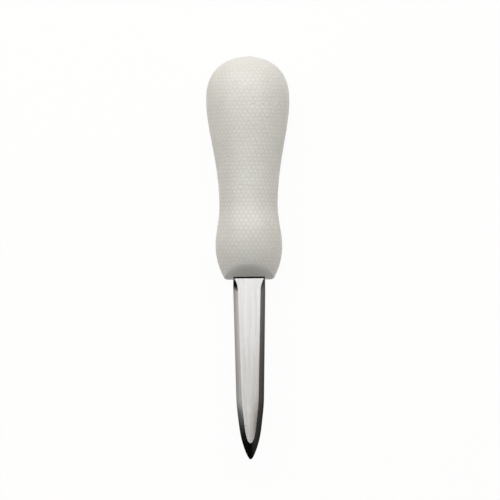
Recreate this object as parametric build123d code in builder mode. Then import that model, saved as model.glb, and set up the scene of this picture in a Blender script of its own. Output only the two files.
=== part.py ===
from build123d import *
import math
import os

# An oyster knife: a spear-pointed blade with a tang, and a pear-shaped plastic handle moulded round the tang.
# The knife lies flat: Y runs along it, butt at +Y and point at -Y, X runs across the blade, and Z is up.
# The origin is under the middle of the knife's bounding box, on the level of its lowest point.
# All lengths are in millimetres.

# Overall
handle_length = 119.3
blade_reach = 96.2  # from the handle's front to the point
cut_overrun = 2.0  # how far a shaping body passes the surface that it cuts

# Handle: the widths and thicknesses of its elliptical sections
butt_flat_width = 5.0
bulb_width = 44.6
bulb_thickness = 36.0
waist_width = 31.3
waist_thickness = 27.4
flare_width = 35.8
flare_thickness = 30.4
front_width = 25.9
front_thickness = 13.7

# Handle: where those sections lie, from the butt
bulb_station = 24.3
waist_station = 80.0
flare_thick_station = 92.5
flare_wide_station = 101.5
cap_steps = 8
body_steps = 14
flare_steps = 10
butt_blunt_share = 2.6  # above 2 the butt is blunter than an ellipse
neck_ease_share = 0.85  # under 1 the bulb falls away sooner than it meets the waist

# Handle: the nose, a slope above and one below that meet in a rounded ridge where the blade comes out
nose_length = 8.2
nose_height = 10.8
nose_ridge_radius = 2.0
nose_corner_radius = 2.8
nose_splay_share = 0.64  # how wide the nose's sides would be at the flare, of the flare's width

# Blade
blade_thickness = 2.6
edge_thickness = 0.6  # the edges are left blunt
root_width = 17.1
shoulder_width = 14.9  # where the straight taper ends and the point begins
bevel_width = 2.55
shoulder_bevel_width = 2.95
point_length = 33.0
point_radius = 1.0
point_bevel_length = 8.8
flat_point_radius = 1.2
point_half_angle = 38.0
plunge_length = 6.2  # the bevels' run-out that shows in front of the handle
plunge_hidden = 1.9  # and the rest of it, inside the handle's mouth
# How far along from the tip to the shoulder, and how much of the shoulder's half width is reached there
edge_point_shares = ((0.64, 0.862), (0.348, 0.668), (0.154, 0.413))
flat_point_shares = ((0.508, 0.773), (0.244, 0.589))

# Tang: the blade's flats are ground as far as the handle's mouth, where the steel rises to its full thickness
tang_thickness = 3.0
tang_start_depth = 1.5  # inside the handle's mouth
rise_length = 0.9  # the slope from the ground flat up to the full thickness
tang_root_length = 8.0  # steel of the blade's full width inside the handle
tang_width = 12.5
tang_length = 84.0
tang_corner_radius = 2.5
lock_hole_diameter = 6.0
lock_hole_count = 3
lock_hole_pitch = 22.0
lock_hole_end_margin = 12.0
tang_clearance = 0.05
mouth_side_gap = 0.12  # the mouth stands clear of the steel: a little at its edges
mouth_flat_gap = 1.3  # and more above and below its flats
mouth_depth = 2.2

# Places that follow
total_length = handle_length + blade_reach
butt_y = total_length / 2
mouth_y = butt_y - handle_length
point_y = -butt_y
middle_z = bulb_thickness / 2
middle_plane = Plane.XY.offset(middle_z)
root_y = mouth_y + plunge_hidden
tang_start_y = mouth_y + tang_start_depth
plunge_y = mouth_y - plunge_length
shoulder_y = point_y + point_length
tang_end_y = mouth_y + tang_length


def eased(start, end, share):
    """A size between two others, level at both ends."""
    return start + (end - start) * (1 - math.cos(math.pi * share)) / 2


def section_size(station, bulb, waist, flare, front, flare_station):
    """The handle's width or thickness, so far from the butt."""
    if station <= bulb_station:
        return bulb * math.sqrt(1 - (1 - station / bulb_station) ** butt_blunt_share)
    if station <= waist_station:
        share = (station - bulb_station) / (waist_station - bulb_station)
        return eased(bulb, waist, share**neck_ease_share)
    if station <= flare_station:
        return eased(waist, flare, (station - waist_station) / (flare_station - waist_station))
    share = (station - flare_station) / (handle_length - flare_station)
    return flare - (flare - front) * share**2


def section_plane(station):
    """The plane across the handle, so far from the butt."""
    return Plane(origin=(0, butt_y - station, middle_z), x_dir=(1, 0, 0), z_dir=(0, -1, 0))


def spear_side(side, places, tip_y, tip_radius, shares, plunge_arc):
    """One side of a spear outline, from the blade's root to the start of its rounded tip."""
    root, plunge, shoulder = [(side * half_width, y) for half_width, y in places]
    shoulder_half_width, shoulder_at = places[2]
    angle = math.radians(point_half_angle)
    tip_start = (side * tip_radius * math.cos(angle), tip_y + tip_radius * (1 - math.sin(angle)))
    between = [
        (side * shoulder_half_width * width_share, tip_y + (shoulder_at - tip_y) * length_share)
        for length_share, width_share in shares
    ]
    taper = Vector(*shoulder) - Vector(*plunge)
    if plunge_arc:
        TangentArc(plunge, root, tangent=-taper)
    else:
        Line(plunge, root)
    Line(plunge, shoulder)
    Spline(shoulder, *between, tip_start, tangents=[taper, (-side * math.sin(angle), -math.cos(angle))])
    return tip_start


def spear_sketch(places, tip_y, tip_radius, shares, plunge_arc=False):
    """A spear outline, the same on both sides of the blade's middle line."""
    with BuildSketch() as spear:
        with BuildLine():
            right_start = spear_side(1, places, tip_y, tip_radius, shares, plunge_arc)
            left_start = spear_side(-1, places, tip_y, tip_radius, shares, plunge_arc)
            ThreePointArc(right_start, (0, tip_y), left_start)
            half_width, y = places[0]
            Line((half_width, y), (-half_width, y))
        make_face()
    return spear.sketch


def tang_sketch(clearance):
    """The tang with its lock holes, grown by a clearance on every side."""
    root_back_y = mouth_y + tang_root_length
    first_hole_y = tang_end_y - lock_hole_end_margin
    hole_places = [(0, first_hole_y - index * lock_hole_pitch) for index in range(lock_hole_count)]
    with BuildSketch() as tang:
        with Locations((0, (tang_start_y + root_back_y + clearance) / 2)):
            Rectangle(root_width + 2 * clearance, root_back_y + clearance - tang_start_y)
        with Locations((0, (tang_start_y + tang_end_y + clearance) / 2)):
            Rectangle(tang_width + 2 * clearance, tang_end_y + clearance - tang_start_y)
        fillet(tang.vertices().group_by(Axis.Y)[-1], tang_corner_radius + clearance)
        with Locations(hole_places):
            Circle(lock_hole_diameter / 2 - clearance, mode=Mode.SUBTRACT)
    return tang.sketch


edge_places = (
    (root_width / 2, root_y),
    (root_width / 2, plunge_y),
    (shoulder_width / 2, shoulder_y),
)
flat_places = (
    (root_width / 2, root_y),
    (root_width / 2 - bevel_width, plunge_y),
    (shoulder_width / 2 - shoulder_bevel_width, shoulder_y),
)
edge_outline = spear_sketch(edge_places, point_y, point_radius, edge_point_shares)
flat_outline = spear_sketch(
    flat_places, point_y + point_bevel_length, flat_point_radius, flat_point_shares, plunge_arc=True
)

# Blade: a blunt-edged core, the ground faces above and below it, the tang, and the rise up to the tang
with BuildPart() as blade:
    with BuildSketch(middle_plane):
        add(edge_outline)
    extrude(amount=edge_thickness / 2, both=True)
    for side in (1, -1):
        with BuildSketch(middle_plane.offset(side * edge_thickness / 2)):
            add(edge_outline)
        with BuildSketch(middle_plane.offset(side * blade_thickness / 2)):
            add(flat_outline)
        loft(ruled=True)
    with BuildSketch(middle_plane):
        add(tang_sketch(0))
    extrude(amount=tang_thickness / 2, both=True)
    rise_start_y = tang_start_y - rise_length
    with BuildSketch(Plane.YZ):
        with BuildLine():
            Polyline(
                (rise_start_y, middle_z - blade_thickness / 2),
                (rise_start_y, middle_z + blade_thickness / 2),
                (tang_start_y, middle_z + tang_thickness / 2),
                (tang_start_y, middle_z - tang_thickness / 2),
                close=True,
            )
        make_face()
    extrude(amount=root_width / 2, both=True)

# Handle: elliptical sections from the butt past the front, then the nose, the mouth and the tang's cavity
with BuildPart() as handle:
    with BuildSketch(section_plane(0)):
        Ellipse(butt_flat_width / 2, butt_flat_width / 2 * bulb_thickness / bulb_width)
    cap_angles = [math.pi / 2 * step / cap_steps for step in range(1, cap_steps + 1)]
    cap_stations = [bulb_station * (1 - math.cos(angle)) for angle in cap_angles]
    body_pitch = (waist_station - bulb_station) / body_steps
    body_stations = [bulb_station + body_pitch * step for step in range(1, body_steps + 1)]
    flare_pitch = (handle_length + cut_overrun - waist_station) / flare_steps
    flare_stations = [waist_station + flare_pitch * step for step in range(1, flare_steps + 1)]
    for station in cap_stations + body_stations + flare_stations:
        width = section_size(station, bulb_width, waist_width, flare_width, front_width, flare_wide_station)
        thickness = section_size(
            station, bulb_thickness, waist_thickness, flare_thickness, front_thickness, flare_thick_station
        )
        with BuildSketch(section_plane(station)):
            Ellipse(width / 2, thickness / 2)
    loft()

    # Seen from the side, the nose is a blunt wedge
    reach_share = bulb_thickness / nose_height
    half_angle = math.atan2(nose_height, nose_length)
    apex_y = mouth_y - nose_ridge_radius * (1 / math.sin(half_angle) - 1)
    back_y = butt_y + cut_overrun
    slope_end_y = apex_y + nose_length * reach_share
    with BuildSketch(Plane.YZ):
        with BuildLine():
            Polyline(
                (apex_y, middle_z),
                (slope_end_y, middle_z + bulb_thickness),
                (back_y, middle_z + bulb_thickness),
                (back_y, middle_z - bulb_thickness),
                (slope_end_y, middle_z - bulb_thickness),
                close=True,
            )
        nose_side = make_face()
        fillet(nose_side.vertices().sort_by(Axis.Y)[0], nose_ridge_radius)
    extrude(amount=bulb_width, both=True, mode=Mode.INTERSECT)

    # Seen from above, its corners are rounded
    flare_y = butt_y - flare_wide_station
    with BuildSketch(middle_plane):
        with BuildLine():
            Polyline(
                (-front_width / 2, mouth_y),
                (front_width / 2, mouth_y),
                (flare_width * nose_splay_share, flare_y),
                (bulb_width, back_y),
                (-bulb_width, back_y),
                (-flare_width * nose_splay_share, flare_y),
                close=True,
            )
        nose_plan = make_face()
        fillet(nose_plan.vertices().group_by(Axis.Y)[0], nose_corner_radius)
    extrude(amount=bulb_thickness, both=True, mode=Mode.INTERSECT)

    # The recess round the blade at the mouth, then the tang's cavity, whose pillars fill the lock holes
    with BuildSketch(middle_plane):
        with Locations((0, mouth_y + (mouth_depth - cut_overrun) / 2)):
            Rectangle(root_width + 2 * mouth_side_gap, mouth_depth + cut_overrun)
    extrude(amount=blade_thickness / 2 + mouth_flat_gap, both=True, mode=Mode.SUBTRACT)
    with BuildSketch(middle_plane):
        add(tang_sketch(tang_clearance))
    extrude(amount=tang_thickness / 2 + tang_clearance, both=True, mode=Mode.SUBTRACT)

blade.part.label = "blade"
handle.part.label = "handle"

os.makedirs("parts", exist_ok=True)
export_step(blade.part, "parts/blade.step")
export_step(handle.part, "parts/handle.step")
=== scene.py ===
import bpy
import bmesh
import math
import random
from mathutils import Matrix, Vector
from mathutils.bvhtree import BVHTree


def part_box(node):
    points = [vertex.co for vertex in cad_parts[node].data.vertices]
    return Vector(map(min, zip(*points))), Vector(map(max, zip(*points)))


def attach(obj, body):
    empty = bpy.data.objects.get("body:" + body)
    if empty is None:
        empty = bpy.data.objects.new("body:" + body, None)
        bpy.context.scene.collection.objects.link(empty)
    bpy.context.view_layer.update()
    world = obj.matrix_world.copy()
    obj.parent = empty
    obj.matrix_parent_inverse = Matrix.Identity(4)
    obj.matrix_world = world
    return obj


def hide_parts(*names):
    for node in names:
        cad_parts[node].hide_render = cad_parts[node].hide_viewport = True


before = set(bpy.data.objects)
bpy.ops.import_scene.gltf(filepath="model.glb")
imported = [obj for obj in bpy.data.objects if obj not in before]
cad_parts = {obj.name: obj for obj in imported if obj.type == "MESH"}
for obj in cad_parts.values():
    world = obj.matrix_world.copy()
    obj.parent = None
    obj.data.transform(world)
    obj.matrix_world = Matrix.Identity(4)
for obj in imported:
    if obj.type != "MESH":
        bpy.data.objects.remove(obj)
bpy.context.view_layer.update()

# An oyster knife: the blade is the frame's own solid, and the handle gets a skin of fine raised pebbles.
# Y runs along the knife, butt at +Y and point at -Y, X runs across the blade, and Z is up.
# A station is a distance from the butt.
mm = 0.001
scene = bpy.context.scene
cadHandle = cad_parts["handle"]
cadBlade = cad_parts["blade"]
lowHandle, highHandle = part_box("handle")
lowBlade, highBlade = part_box("blade")
buttY = highHandle.y
mouthY = lowHandle.y
handleLength = buttY - mouthY
middleZ = (lowBlade.z + highBlade.z) / 2


# Node helpers, shared by all materials

mixInputs = (0, 6, 7)  # a colour Mix node's sockets: the share, the first colour and the second
mixResult = 2


def newMaterial(name):
    material = bpy.data.materials.new(name)
    material.use_nodes = True
    tree = material.node_tree
    return material, tree, tree.nodes["Principled BSDF"]


def addNode(tree, kind, **values):
    # each value goes to the node's setting or socket of that name
    node = tree.nodes.new(kind)
    for key, value in values.items():
        if hasattr(node, key):
            setattr(node, key, value)
        else:
            node.inputs[key].default_value = value
    return node


def feed(tree, socket, value):
    # gives a socket its value, or links it to the output that makes it
    if isinstance(value, bpy.types.NodeSocket):
        tree.links.new(value, socket)
    else:
        socket.default_value = value


def maths(tree, operation, *values):
    node = addNode(tree, "ShaderNodeMath", operation=operation)
    for socket, value in zip(node.inputs, values):
        feed(tree, socket, value)
    return node.outputs[0]


def product(tree, first, second):
    return maths(tree, "MULTIPLY", first, second)


def mapped(tree, value, start=(0, 1), end=(0, 1), **settings):
    # carries a value over from one range to another, and stops it at the ends
    node = addNode(tree, "ShaderNodeMapRange", **settings)
    node.inputs["From Min"].default_value, node.inputs["From Max"].default_value = start
    node.inputs["To Min"].default_value, node.inputs["To Max"].default_value = end
    feed(tree, node.inputs["Value"], value)
    return node.outputs["Result"]


def axisOf(tree, vector, axis):
    split = addNode(tree, "ShaderNodeSeparateXYZ")
    feed(tree, split.inputs[0], vector)
    return split.outputs[axis]


def objectAxis(tree, axis):
    coordinates = addNode(tree, "ShaderNodeTexCoord")
    return axisOf(tree, coordinates.outputs["Object"], axis)


def objectPattern(tree, scale, kind="ShaderNodeTexNoise", **values):
    # a 3-D pattern on object coordinates, with so many grains per metre along X, Y and Z
    coordinates = addNode(tree, "ShaderNodeTexCoord")
    mapping = addNode(tree, "ShaderNodeMapping", Scale=scale)
    pattern = addNode(tree, kind, Scale=1.0, **values)
    feed(tree, mapping.inputs["Vector"], coordinates.outputs["Object"])
    feed(tree, pattern.inputs["Vector"], mapping.outputs["Vector"])
    return pattern


def ramp(tree, source, places, colours):
    # one colour at each place from 0 to 1, and their mixes between
    node = addNode(tree, "ShaderNodeValToRGB")
    for element, place, colour in zip(node.color_ramp.elements, places, colours):
        element.position = place
        element.color = opaque(colour)
    feed(tree, node.inputs["Fac"], source)
    return node.outputs["Color"]


def mixColours(tree, share, first, second, blend="MIX"):
    node = addNode(tree, "ShaderNodeMix", data_type="RGBA", blend_type=blend)
    for index, value in zip(mixInputs, (share, first, second)):
        feed(tree, node.inputs[index], value)
    return node.outputs[mixResult]


def tinted(tree, colour, tint, share=1.0):
    return mixColours(tree, share, colour, tint, "MULTIPLY")


def grey(level):
    return (level, level, level)


def opaque(colour):
    return (*colour, 1)


# Mesh helpers

sameCorner = 0.001 * mm  # corners nearer than this are one


def meshObject(name, bm):
    mesh = bpy.data.meshes.new(name)
    bm.to_mesh(mesh)
    bm.free()
    piece = bpy.data.objects.new(name, mesh)
    scene.collection.objects.link(piece)
    return piece


def meshOf(piece):
    bm = bmesh.new()
    bm.from_mesh(piece.data)
    return bm


def withModifiersApplied(piece):
    bpy.context.view_layer.update()
    graph = bpy.context.evaluated_depsgraph_get()
    mesh = bpy.data.meshes.new_from_object(piece.evaluated_get(graph))
    piece.modifiers.clear()
    piece.data = mesh
    return piece


def splitIntoTriangles(bm):
    bmesh.ops.triangulate(bm, faces=[face for face in bm.faces if len(face.verts) > 3])


def openEdges(bm):
    return sum(1 for edge in bm.edges if not edge.is_manifold)


# Camera: straight down on the knife, as the photo was taken

cameraSetup = {
    "sensor": 36,
    "width": 0.2675,  # what the frame spans at the blade's level
    "distance": 1.5,
    "centre": (0.00056, 0.00423),
    "roll": -0.47,  # degrees
}


def makeCamera():
    data = bpy.data.cameras.new("camera")
    camera = bpy.data.objects.new("camera", data)
    scene.collection.objects.link(camera)
    data.sensor_width = cameraSetup["sensor"]
    data.lens = data.sensor_width * cameraSetup["distance"] / cameraSetup["width"]
    x, y = cameraSetup["centre"]
    camera.location = (x, y, middleZ + cameraSetup["distance"])
    camera.rotation_euler = (0, 0, math.radians(cameraSetup["roll"]))
    scene.camera = camera
    print("camera placed")


# Floor and light: a white table under one big softbox that stands towards the butt, in a dim room

studio = {
    "floorSize": 6.0,
    "floorColour": (0.94, 0.90, 0.81),
    "floorGlow": 0.95,  # how much of the floor's look is plain white, the rest takes the shadow
    "lightDistance": 1.0,
    "lightTilt": 28.8,  # degrees from straight above, towards the butt
    "lightHalfTurn": 37.4,  # degrees that half of it spans along the knife
    "lightTurn": 6.0,  # degrees, so that its left end comes nearer the point
    "lightShift": -0.28,
    "lightWidth": 1.70,
    "lightRadiance": 2.14,
    "worldDark": 0.005,  # on the left
    "worldDim": 0.60,  # on the right
    "worldSide": (0.1, 0.7),  # between these X of a direction the room turns from dark to dim
    "worldTurn": (-0.13, -0.01),  # and between these Y, from the point's end to the butt's
    "worldAtPoint": 0.25,  # how much of the dim side is left at the point's end
    "horizonGlow": 0.10,  # all round, low down
    "horizonFade": (0.28, 0.45),  # the Z between which that ends
}


def makeFloor():
    bm = bmesh.new()
    bmesh.ops.create_grid(bm, x_segments=1, y_segments=1, size=studio["floorSize"] / 2)
    floor = meshObject("floor", bm)
    material, tree, shader = newMaterial("floor")
    shader.inputs["Base Color"].default_value = opaque(studio["floorColour"])
    shader.inputs["Roughness"].default_value = 1.0
    shader.inputs["Specular IOR Level"].default_value = 0.0
    path = addNode(tree, "ShaderNodeLightPath")
    seen = maths(tree, "MAXIMUM", path.outputs["Is Camera Ray"], path.outputs["Is Glossy Ray"])
    seen = maths(tree, "MAXIMUM", seen, path.outputs["Is Transmission Ray"])
    glow = addNode(tree, "ShaderNodeEmission", Strength=1.0)
    mix = addNode(tree, "ShaderNodeMixShader")
    sources = (product(tree, seen, studio["floorGlow"]), shader.outputs[0], glow.outputs[0])
    for socket, source in zip(mix.inputs, sources):
        feed(tree, socket, source)
    feed(tree, tree.nodes["Material Output"].inputs["Surface"], mix.outputs[0])
    floor.data.materials.append(material)
    print("floor made")


def makeSoftbox():
    data = bpy.data.lights.new("softbox", "AREA")
    data.shape = "RECTANGLE"
    data.size = studio["lightWidth"]
    data.size_y = 2 * studio["lightDistance"] * math.tan(math.radians(studio["lightHalfTurn"]))
    data.energy = studio["lightRadiance"] * math.pi * data.size * data.size_y
    light = bpy.data.objects.new("softbox", data)
    tilt = math.radians(studio["lightTilt"])
    light.location = (
        studio["lightShift"],
        studio["lightDistance"] * math.sin(tilt),
        studio["lightDistance"] * math.cos(tilt),
    )
    light.rotation_euler = (-tilt, 0, math.radians(studio["lightTurn"]))
    light.visible_camera = False
    scene.collection.objects.link(light)
    print("softbox made")


def makeWorld():
    world = bpy.data.worlds.new("world")
    world.use_nodes = True
    tree = world.node_tree
    way = addNode(tree, "ShaderNodeTexCoord").outputs["Generated"]
    side = ramp(tree, axisOf(tree, way, "X"), studio["worldSide"], (grey(0), grey(1)))
    turn = mapped(tree, axisOf(tree, way, "Y"), studio["worldTurn"], (studio["worldAtPoint"], 1))
    dark, dim = opaque(grey(studio["worldDark"])), opaque(grey(studio["worldDim"]))
    level = mixColours(tree, product(tree, side, turn), dark, dim)
    horizon = mapped(tree, axisOf(tree, way, "Z"), studio["horizonFade"], (studio["horizonGlow"], 0))
    feed(tree, tree.nodes["Background"].inputs["Color"], mixColours(tree, 1.0, level, horizon, "ADD"))
    scene.world = world
    print("world made")


# Handle: its outer form, the same as the frame's, so that the pebbles can be laid over it

handleForm = {
    "bulb": (44.6 * mm, 36.0 * mm),  # width and thickness
    "waist": (31.3 * mm, 27.4 * mm),
    "flare": (35.8 * mm, 30.4 * mm),
    "front": (25.9 * mm, 13.7 * mm),
    "bulbStation": 24.3 * mm,
    "waistStation": 80.0 * mm,
    "flareStation": (101.5 * mm, 92.5 * mm),  # widest, and thickest
    "buttPower": 2.6,  # above 2 the butt is blunter than an ellipse
    "neckEase": 0.85,  # under 1 the bulb falls away sooner
    "frontCap": 7.0 * mm,  # closes the form past the front, where it is cut away
    "capPower": 2,
    "rounds": 8,  # in which a place on the rounded ends is closed in on
}


def eased(start, end, share):
    return start + (end - start) * (1 - math.cos(math.pi * share)) / 2


def smoothStep(low, high, value):
    share = min(max((value - low) / (high - low), 0), 1)
    return share * share * (3 - 2 * share)


def halfSize(station, which):
    # half the handle's width (0) or thickness (1)
    form = handleForm
    bulb, waist, flare, front = (form[key][which] for key in ("bulb", "waist", "flare", "front"))
    flareStation = form["flareStation"][which]
    if station <= form["waistStation"]:
        share = (station - form["bulbStation"]) / (form["waistStation"] - form["bulbStation"])
        return eased(bulb, waist, max(share, 0) ** form["neckEase"]) / 2
    if station <= flareStation:
        share = (station - form["waistStation"]) / (flareStation - form["waistStation"])
        return eased(waist, flare, share) / 2
    share = (station - flareStation) / (handleLength - flareStation)
    return (flare - (flare - front) * share ** 2) / 2


def sectionAt(station):
    # half the width and half the thickness, the rounded ends included
    first, last, rounding = handleForm["bulbStation"], handleLength, 1
    if station < first:
        rounding = math.sqrt(1 - (1 - station / first) ** handleForm["buttPower"])
    if station > last:
        rounding = math.sqrt(1 - ((station - last) / handleForm["frontCap"]) ** handleForm["capPower"])
    nearest = min(max(station, first), last)
    return halfSize(nearest, 0) * rounding, halfSize(nearest, 1) * rounding


def onHandle(point):
    # the point moved onto the handle's form, out from the middle of its section or its rounded end
    station = buttY - point.y
    first, last = handleForm["bulbStation"], handleLength
    x, z = point.x, point.z - middleZ
    if first <= station <= last:
        width, thickness = sectionAt(station)
        reach = math.hypot(x / width, z / thickness)
        return Vector((x / reach, point.y, middleZ + z / reach))
    centre, cap, power = last, handleForm["frontCap"], handleForm["capPower"]
    if station < first:
        centre, cap, power = first, first, handleForm["buttPower"]
    width, thickness = sectionAt(centre)
    along = station - centre
    flat = (x / width) ** 2 + (z / thickness) ** 2
    end = abs(along) / cap
    grow = 1 / math.sqrt(flat + end ** 2)
    for turn in range(handleForm["rounds"]):
        value = flat * grow ** 2 + (end * grow) ** power - 1
        slope = 2 * flat * grow + power * end * (end * grow) ** (power - 1)
        grow -= value / slope
    return Vector((x * grow, buttY - centre - along * grow, middleZ + z * grow))


def insideForm(point):
    # how far a point lies inside the handle's form
    station = min(max(buttY - point.y, handleForm["bulbStation"]), handleLength)
    width, thickness = sectionAt(station)
    reach = math.hypot(point.x / width, (point.z - middleZ) / thickness)
    return (1 - reach) * min(width, thickness)


# Handle: the crease where the form meets the sloping nose, worn soft

nose = {
    "length": 8.2 * mm,
    "height": 10.8 * mm,
    "ridge": 2.0 * mm,
    "from": 104 * mm,  # the crease lies past this station
    "fade": (113 * mm, 118 * mm),  # and is worn down less and less between these
    "soft": 1.5 * mm,  # how far the wear reaches to either side
    "mesh": 0.8 * mm,  # what the frame's long triangles are cut down to there
    "onPlane": 0.0001 * mm,  # a corner nearer than this to a cut isn't cut off
}
noseSlant = math.hypot(nose["length"], nose["height"])


def behindNose(point):
    # how far a point lies behind the sloping face of the nose
    sine = nose["height"] / noseSlant
    apexY = mouthY - nose["ridge"] * (1 / sine - 1)
    return (point.y - apexY) * sine - abs(point.z - middleZ) * nose["length"] / noseSlant


def softening(point):
    # how far the crease is worn down there, as a smooth minimum does it: most where form and nose meet
    station = buttY - point.y
    if station < nose["from"]:
        return 0
    soft = nose["soft"]
    apart = max(behindNose(point), 0) + max(insideForm(point), 0)
    return max(1 - apart / soft, 0) ** 2 * soft / 4 * (1 - smoothStep(*nose["fade"], station))


def outOfCrease(point):
    # the way out of the handle near the crease, from the form's to that of the nose's slope
    width, thickness = sectionAt(min(buttY - point.y, handleLength))
    rise = point.z - middleZ
    outOfForm = Vector((point.x / width ** 2, 0, rise / thickness ** 2)).normalized()
    outOfNose = Vector((0, -nose["height"], math.copysign(nose["length"], rise))) / noseSlant
    share = min(max(0.5 + (behindNose(point) - insideForm(point)) / nose["soft"] / 2, 0), 1)
    return outOfNose.lerp(outOfForm, share).normalized()


def cutAcross(bm, place, normal):
    # cuts the faces of the handle's front along a plane
    faces = [face for face in bm.faces if any(buttY - vert.co.y > nose["from"] for vert in face.verts)]
    edges = dict.fromkeys(edge for face in faces for edge in face.edges)  # each once, in a fixed order
    verts = dict.fromkeys(vert for face in faces for vert in face.verts)
    geometry = [*verts, *edges, *faces]
    bmesh.ops.bisect_plane(bm, geom=geometry, plane_co=place, plane_no=normal, dist=nose["onPlane"])


def softenedHandle():
    # the frame's solid with that crease worn soft, and the same as a surface to lay pebbles on
    solid = bpy.data.objects.new("softened", cadHandle.data.copy())
    scene.collection.objects.link(solid)
    bm = meshOf(solid)
    bmesh.ops.remove_doubles(bm, verts=bm.verts, dist=sameCorner)
    half = round(halfSize(nose["from"], 0) / nose["mesh"])
    for index in range(-half, half + 1):
        cutAcross(bm, (index * nose["mesh"], 0, 0), (1, 0, 0))
    for index in range(1, round((handleLength - nose["from"]) / nose["mesh"])):
        cutAcross(bm, (0, buttY - nose["from"] - index * nose["mesh"], 0), (0, 1, 0))
    splitIntoTriangles(bm)
    for vert in bm.verts:
        worn = softening(vert.co)
        if worn:
            vert.co -= outOfCrease(vert.co) * worn
    print("crease softened,", openEdges(bm), "open edges")
    surface = BVHTree.FromBMesh(bm)
    bm.to_mesh(solid.data)
    bm.free()
    return solid, surface


# Handle: where its pebbles lie, one at each corner of a net of even triangles

pebbles = {
    "seed": 11,
    "pitch": 2.46 * mm,
    "rowShare": 0.87,  # the rows lie this much of the pitch apart
    "rowSteps": 4000,  # in which the form is walked along to place the rows
    "fewest": 3,  # pebbles in a row
    "scatter": 0.07,  # of the pitch
    "eggLength": 3.2,  # of the egg on which the triangles are found, against its width
    "turnRounds": 12,  # of turning edges, at most, before the weeding
    "turnMargin": 1.001,  # an edge turns when the angles that face it pass this many half turns
    "weedRounds": 3,
    "fewestEdges": 5,  # a corner where fewer edges meet is taken out
    "evenEdges": 6,  # meet in an even one
    "springRounds": 24,  # in which the edges pull and push each other to one length
    "spring": 0.16,  # of its difference, what each end of an edge makes up in a round
    "edge": 0.235 * mm,  # from the middle of a groove to the edge of a pebble's top
    "corner": 0.45,  # how sharp the corners of the tops stay
    "groove": 0.13 * mm,  # its depth
    "under": 0.03 * mm,  # the tops lie this far inside the frame's surface
    "unevenness": 0.03 * mm,
    "wallFrom": 0.25,  # above this height a corner belongs to the wall, and above the next to the top
    "topFrom": 0.75,
    "wallHeight": 0.62,  # of the groove's depth: half way up the wall, and at its top
    "rimHeight": 0.90,
    "buttFade": (1.5 * mm, 8.0 * mm),  # stations between which the pebbles rise
    "noseFade": (0.3 * mm, 1.1 * mm),  # the same, behind the nose
    "noseLift": 0.16 * mm,  # at the crease the pebbles' ground lies this far outside, and is cut away
    "liftFade": (0.2 * mm, 0.8 * mm),
    "nearForm": 0.6 * mm,  # the surface is looked for this far to either side of the form
    "sharp": 45,  # degrees, an edge that turns more stays sharp
}


def ellipseLength(width, thickness):
    # round an ellipse, from half its sizes, by a close approximation
    mean = math.sqrt((3 * width + thickness) * (width + 3 * thickness))
    return math.pi * (3 * (width + thickness) - mean)


def pebbleRows(chance):
    # the rows as (station, count, phase): rings round the handle, each staggered against the ring before
    total, steps = handleLength + handleForm["frontCap"], pebbles["rowSteps"]
    rowPitch = pebbles["pitch"] * pebbles["rowShare"]
    rows, phase, count = [], 0, pebbles["fewest"]
    walked, before = rowPitch / 2, (0, 0)
    for step in range(1, steps):
        station = total * step / steps
        width, thickness = sectionAt(station)
        middle = (width + thickness) / 2
        walked += math.hypot(station - before[0], middle - before[1])
        before = (station, middle)
        if walked < rowPitch:
            continue
        walked -= rowPitch
        phase += 2 * math.pi * (chance.randrange(count) + 0.5) / count
        count = max(round(ellipseLength(width, thickness) / pebbles["pitch"]), pebbles["fewest"])
        rows.append((station, count, phase))
    return rows


def joinedPlaces(chance):
    # the rows' places joined by triangles, found on a plain long egg and then laid on the handle
    rows = pebbleRows(chance)
    scatter = pebbles["pitch"] * pebbles["scatter"]
    bm = bmesh.new()
    places = []
    for index, (station, count, phase) in enumerate(rows):
        height = math.pi * (index + 0.5) / len(rows)
        eggWidth, eggY = math.sin(height), -pebbles["eggLength"] * math.cos(height)
        width, thickness = sectionAt(station)
        for turn in range(count):
            angle = phase + 2 * math.pi * turn / count
            across, up = math.cos(angle), math.sin(angle)
            bmesh.ops.create_vert(bm, co=(across * eggWidth, eggY, up * eggWidth))
            place = (width * across, buttY - station, middleZ + thickness * up)
            places.append(Vector([at + chance.uniform(-scatter, scatter) for at in place]))
    bmesh.ops.convex_hull(bm, input=list(bm.verts))
    for vert, place in zip(bm.verts, places):
        vert.co = onHandle(place)
    return bm


def turnEdges(bm):
    # turns each edge that two flat angles face, so that the triangles stay as even as they can be
    done, turned = set(), []
    for edge in bm.edges:
        ends = set(edge.verts)
        tips = [vert for face in edge.link_faces for vert in face.verts if vert not in ends]
        corners = ends | set(tips)
        if corners & done:
            continue
        first, second = edge.verts
        facing = sum((first.co - tip.co).angle(second.co - tip.co) for tip in tips)
        if facing > math.pi * pebbles["turnMargin"]:
            done |= corners
            turned.append(edge)
    bmesh.ops.rotate_edges(bm, edges=turned, use_ccw=False)
    return len(turned)


def springMove(vert, length):
    # where the edges that meet in a corner pull and push it, if each would rather have that length
    move = Vector()
    for edge in vert.link_edges:
        away = edge.other_vert(vert).co - vert.co
        move += away * (1 - length / away.length)
    return move * pebbles["spring"]


def evenTriangles(chance):
    bm = joinedPlaces(chance)
    for turn in range(pebbles["turnRounds"]):
        if not turnEdges(bm):
            break
    for turn in range(pebbles["weedRounds"]):
        spare = [vert for vert in bm.verts if len(vert.link_edges) < pebbles["fewestEdges"]]
        bmesh.ops.dissolve_verts(bm, verts=spare)
        splitIntoTriangles(bm)
        turnEdges(bm)
    for turn in range(pebbles["springRounds"]):
        length = sum(edge.calc_length() for edge in bm.edges) / len(bm.edges)
        moves = [springMove(vert, length) for vert in bm.verts]
        for vert, move in zip(bm.verts, moves):
            vert.co = onHandle(vert.co + move)
        turnEdges(bm)
    uneven = sum(1 for vert in bm.verts if len(vert.link_edges) != pebbles["evenEdges"])
    print("triangles made even:", len(bm.verts), "corners,", uneven, "of them uneven")
    return bm


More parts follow.
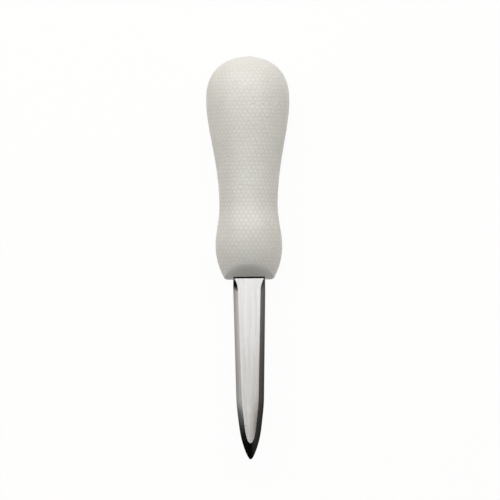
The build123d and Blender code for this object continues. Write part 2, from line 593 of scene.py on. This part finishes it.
def cellsFrom(bm):
    # one cell round each corner of the triangles
    piece = meshObject("handleCells", bm)
    group = bpy.data.node_groups.new("cells", "GeometryNodeTree")
    for way in ("INPUT", "OUTPUT"):
        group.interface.new_socket("Geometry", in_out=way, socket_type="NodeSocketGeometry")
    source = group.nodes.new("NodeGroupInput")
    dual = group.nodes.new("GeometryNodeDualMesh")
    target = group.nodes.new("NodeGroupOutput")
    group.links.new(source.outputs[0], dual.inputs[0])
    group.links.new(dual.outputs[0], target.inputs[0])
    piece.modifiers.new("cells", "NODES").node_group = group
    return withModifiersApplied(piece)


# Handle: the skin, with its pebbles raised on the surface and its front cut by the softened solid

def onSurface(surface, point, inset):
    # the point moved onto the surface, or onto the form where the surface isn't near it, and then inwards
    place = onHandle(point)
    axisY = min(max(place.y, mouthY), buttY - handleForm["bulbStation"])
    outward = (place - Vector((0, axisY, middleZ))).normalized()
    near = pebbles["nearForm"]
    hit = surface.ray_cast(place + outward * near, -outward, 2 * near)[0]
    return (hit or place) - outward * inset


def relief(point):
    # 1 where the pebbles stand at their full height, 0 where the handle is smooth
    station = buttY - point.y
    return smoothStep(*pebbles["buttFade"], station) * smoothStep(*pebbles["noseFade"], behindNose(point))


def underSurface(point):
    # how far the pebbles' tops lie inside the surface
    lift = 1 - smoothStep(*pebbles["liftFade"], behindNose(point))
    return pebbles["under"] - pebbles["noseLift"] * lift


def raisePebbles(piece, surface, chance):
    # each cell gets a top inside its edges, and then one rounding divides walls and tops
    bm = meshOf(piece)
    crisp = bm.edges.layers.float.new("crease_edge")
    corner = bm.verts.layers.float.new("crease_vert")
    height = bm.verts.layers.float.new("height")  # 0 in a groove, 1 on a pebble's top
    sunk = bm.verts.layers.float.new("sunk")  # how much lower this pebble's top lies
    cells = list(bm.faces)
    for vert in bm.verts:
        vert.co = onSurface(surface, vert.co, 0)
    bm.normal_update()
    bmesh.ops.inset_individual(bm, faces=cells, thickness=pebbles["edge"], use_even_offset=True)
    for cell in cells:
        drop = chance.uniform(0, pebbles["unevenness"])
        for vert in cell.verts:
            vert[height], vert[corner], vert[sunk] = 1, pebbles["corner"], drop
        for edge in cell.edges:
            edge[crisp] = 1
    bm.to_mesh(piece.data)
    bm.free()
    rounding = piece.modifiers.new("rounding", "SUBSURF")
    rounding.levels = 1
    rounding.render_levels = 1
    withModifiersApplied(piece)
    print("pebbles raised:", len(cells))


def sinkGrooves(piece, surface):
    bm = meshOf(piece)
    height = bm.verts.layers.float["height"]
    sunk = bm.verts.layers.float["sunk"]
    groove = bm.verts.layers.float.new("groove")  # 1 at the bottom of a groove, for the material's painted groove shade
    for vert in bm.verts:
        near = [edge.other_vert(vert)[height] for edge in vert.link_edges]
        if vert[height] < pebbles["wallFrom"]:
            up = 0
        elif vert[height] < pebbles["topFrom"]:
            up = pebbles["wallHeight"]
        else:
            up = 1 if min(near) > pebbles["topFrom"] else pebbles["rimHeight"]
        rise = relief(vert.co)
        drop = (pebbles["groove"] * (1 - up) + vert[sunk] * vert[height]) * rise
        vert.co = onSurface(surface, vert.co, underSurface(vert.co) + drop)
        vert[groove] = (1 - up) * rise
    bmesh.ops.recalc_face_normals(bm, faces=bm.faces)
    bm.to_mesh(piece.data)
    bm.free()


def trimFront(piece, solid):
    # what lies outside the solid is cut away, and the solid's nose, mouth and cavity close the skin
    material = plasticMaterial()
    for part in (piece, solid):
        part.data.materials.clear()
        part.data.materials.append(material)
    trim = piece.modifiers.new("trim", "BOOLEAN")
    trim.operation = "INTERSECT"
    trim.solver = "MANIFOLD"
    trim.object = solid
    withModifiersApplied(piece)
    bpy.data.objects.remove(solid)


def smoothShading(piece):
    piece.data.shade_smooth()
    piece.data.set_sharp_from_angle(angle=math.radians(pebbles["sharp"]))
    shading = piece.modifiers.new("shading", "WEIGHTED_NORMAL")
    shading.mode = "FACE_AREA_WITH_ANGLE"
    shading.keep_sharp = True
    withModifiersApplied(piece)


def makeHandle():
    chance = random.Random(pebbles["seed"])
    solid, surface = softenedHandle()
    piece = cellsFrom(evenTriangles(chance))
    raisePebbles(piece, surface, chance)
    sinkGrooves(piece, surface)
    trimFront(piece, solid)
    smoothShading(piece)
    piece.name = "handleSkin"
    piece.data.name = "handleSkin"
    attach(piece, "root")
    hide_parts("handle")
    piece.data.calc_loop_triangles()
    bm = meshOf(piece)
    print("handle made:", len(piece.data.loop_triangles), "triangles,", openEdges(bm), "open edges")
    bm.free()


plastic = {
    "colour": (0.70, 0.69, 0.652),
    "shade": (0.67, 0.655, 0.615),
    "blotch": 110,  # per metre
    "blotchDetail": 3.0,
    "blotchRange": (0.35, 0.65),  # of the pattern, from shade to colour
    # painted shade: the grooves' floors darkened and warmed, as shade falls in them
    "paintedGrooveShade": (0.86, 0.83, 0.765),
    "speck": (0.30, 0.27, 0.22),
    "speckPlaces": 1300,  # per metre
    "speckRare": 0.975,  # the share of those places that stay clean
    "speckSize": 0.09,  # its radius, of their pitch
    "roughness": 0.36,
    "grain": 26000,  # per metre
    "grainBump": 0.10,
    "grainDepth": 0.03 * mm,
}


def speckShare(tree):
    # 1 on the few dark specks, 0 elsewhere
    cells = objectPattern(tree, grey(plastic["speckPlaces"]), "ShaderNodeTexVoronoi")
    level = addNode(tree, "ShaderNodeSeparateColor")
    feed(tree, level.inputs[0], cells.outputs["Color"])
    chosen = maths(tree, "GREATER_THAN", level.outputs[0], plastic["speckRare"])
    near = maths(tree, "LESS_THAN", cells.outputs["Distance"], plastic["speckSize"])
    return product(tree, chosen, near)


def plasticMaterial():
    material, tree, shader = newMaterial("whitePlastic")
    blotch = objectPattern(tree, grey(plastic["blotch"]), Detail=plastic["blotchDetail"])
    colours = (plastic["shade"], plastic["colour"])
    colour = ramp(tree, blotch.outputs["Fac"], plastic["blotchRange"], colours)
    groove = addNode(tree, "ShaderNodeAttribute", attribute_name="groove")
    # painted shade darkens the grooves, by the groove attribute
    colour = tinted(tree, colour, opaque(plastic["paintedGrooveShade"]), groove.outputs["Fac"])
    colour = mixColours(tree, speckShare(tree), colour, opaque(plastic["speck"]))
    grain = objectPattern(tree, grey(plastic["grain"]))
    bump = addNode(tree, "ShaderNodeBump", Strength=plastic["grainBump"], Distance=plastic["grainDepth"])
    feed(tree, bump.inputs["Height"], grain.outputs["Fac"])
    feed(tree, shader.inputs["Base Color"], colour)
    feed(tree, shader.inputs["Roughness"], plastic["roughness"])
    feed(tree, shader.inputs["Normal"], bump.outputs["Normal"])
    return material


# Blade: the frame's own solid, with a satin ground finish, and painted shade and highlights on its flats
# and bevels

steel = {
    "colour": (0.50, 0.493, 0.485),
    "streak": (0.425, 0.416, 0.406),
    "streakScale": (6500, 45, 4500),  # fine lines along the blade, per metre
    "streakDetail": 3.0,
    "streakRange": (0.32, 0.62),  # of the pattern, from streak to colour
    "hairScale": (26000, 150, 20000),
    "bandScale": (850, 30, 600),
    "bandRange": (0.3, 0.7),
    "bandLevels": (0.90, 1.0),
    "rightShade": (0.80, 0.74, 0.69),  # painted shade: a darker, brownish reflection over the right half, towards the point
    "rightShadeAcross": (-2.0 * mm, 6.0 * mm),  # from the blade's middle line to the right
    "rightShadeAlong": (18.45 * mm, 73.45 * mm),  # from the handle towards the point
    "tipHighlight": 1.13,  # painted highlight: the flats' colour near the point, against the rest
    "tipHighlightAlong": (40.45 * mm, 76.45 * mm),
    "tipShade": (0.38, 0.35, 0.33),  # painted shade: a dark reflection at the point's right side
    "tipAcross": (-1.0 * mm, 4.5 * mm),
    "tipAlong": (58.45 * mm, 82.45 * mm),
    # painted shade: the bevels' colour, darker than the flats', with its fall near the point and its
    # shading across the bevel
    "bevel": (0.30, 0.293, 0.283),
    "bevelFall": 0.70,  # how much of that is left near the point, a painted shade that deepens there
    "bevelFallAlong": (8.45 * mm, 58.45 * mm),
    "bevelShade": (0.62, 1.12),  # at the edge, and where it meets the flat
    "bevelHeight": (0.3 * mm, 1.3 * mm),  # from the blade's middle plane
    "flatNormal": 0.9985,  # a face that looks up or down by less is a slope
    "roughness": (0.24, 0.13),  # on the flats, and on the bevels
    "bump": (0.22, 0.05),
    "bumpDepth": 0.02 * mm,
}


def acrossBlade(tree, spread):
    # 0 to 1 between two places across the blade
    return mapped(tree, objectAxis(tree, "X"), spread, interpolation_type="SMOOTHSTEP")


def alongBlade(tree, spread):
    # 0 to 1 between two distances from the handle, towards the point
    places = [mouthY - distance for distance in spread]
    return mapped(tree, objectAxis(tree, "Y"), places, interpolation_type="SMOOTHSTEP")


def onBevel(tree):
    # 1 on the blade's slopes, 0 on its flats
    geometry = addNode(tree, "ShaderNodeNewGeometry")
    level = maths(tree, "ABSOLUTE", axisOf(tree, geometry.outputs["True Normal"], "Z"))
    return maths(tree, "LESS_THAN", level, steel["flatNormal"])


def flatColour(tree, fine):
    bands = objectPattern(tree, steel["bandScale"])
    levels = [grey(level) for level in steel["bandLevels"]]
    colour = tinted(tree, fine, ramp(tree, bands.outputs["Fac"], steel["bandRange"], levels))
    # painted shade: the right half of the flats darker and browner towards the point
    rightShadeShare = product(tree, acrossBlade(tree, steel["rightShadeAcross"]), alongBlade(tree, steel["rightShadeAlong"]))
    colour = tinted(tree, colour, opaque(steel["rightShade"]), rightShadeShare)
    # painted highlight: the flats brighter near the point
    highlightLevel = mapped(tree, alongBlade(tree, steel["tipHighlightAlong"]), end=(1, steel["tipHighlight"]))
    colour = tinted(tree, colour, highlightLevel)
    # painted shade: the flats darker still at the point's right side
    dark = product(tree, acrossBlade(tree, steel["tipAcross"]), alongBlade(tree, steel["tipAlong"]))
    return tinted(tree, colour, opaque(steel["tipShade"]), dark)


def bevelColour(tree, fine):
    # painted shade: darker than the flats, most so at the edge and near the point, for the darker room
    # the bevels reflect
    brightest = max(steel["colour"])  # fine has the flats' colour already
    colour = tinted(tree, fine, opaque([level / brightest for level in steel["bevel"]]))
    away = maths(tree, "ABSOLUTE", maths(tree, "SUBTRACT", objectAxis(tree, "Z"), middleZ))
    shade = mapped(tree, away, steel["bevelHeight"], steel["bevelShade"])
    fall = mapped(tree, alongBlade(tree, steel["bevelFallAlong"]), end=(1, steel["bevelFall"]))
    return tinted(tree, colour, product(tree, shade, fall))


def steelMaterial():
    material, tree, shader = newMaterial("groundSteel")
    streaks = objectPattern(tree, steel["streakScale"], Detail=steel["streakDetail"])
    hairs = objectPattern(tree, steel["hairScale"])
    fine = ramp(tree, streaks.outputs["Fac"], steel["streakRange"], (steel["streak"], steel["colour"]))
    slope = onBevel(tree)
    bump = addNode(tree, "ShaderNodeBump", Distance=steel["bumpDepth"])
    feed(tree, bump.inputs["Height"], maths(tree, "ADD", streaks.outputs["Fac"], hairs.outputs["Fac"]))
    feed(tree, bump.inputs["Strength"], mapped(tree, slope, end=steel["bump"]))
    colour = mixColours(tree, slope, flatColour(tree, fine), bevelColour(tree, fine))
    feed(tree, shader.inputs["Base Color"], colour)
    feed(tree, shader.inputs["Metallic"], 1.0)
    feed(tree, shader.inputs["Roughness"], mapped(tree, slope, end=steel["roughness"]))
    feed(tree, shader.inputs["Normal"], bump.outputs["Normal"])
    return material


def dressBlade():
    cadBlade.data.materials.clear()
    cadBlade.data.materials.append(steelMaterial())
    print("blade dressed")


scene.view_settings.view_transform = "Standard"
makeCamera()
makeFloor()
makeSoftbox()
makeWorld()
makeHandle()
dressBlade()
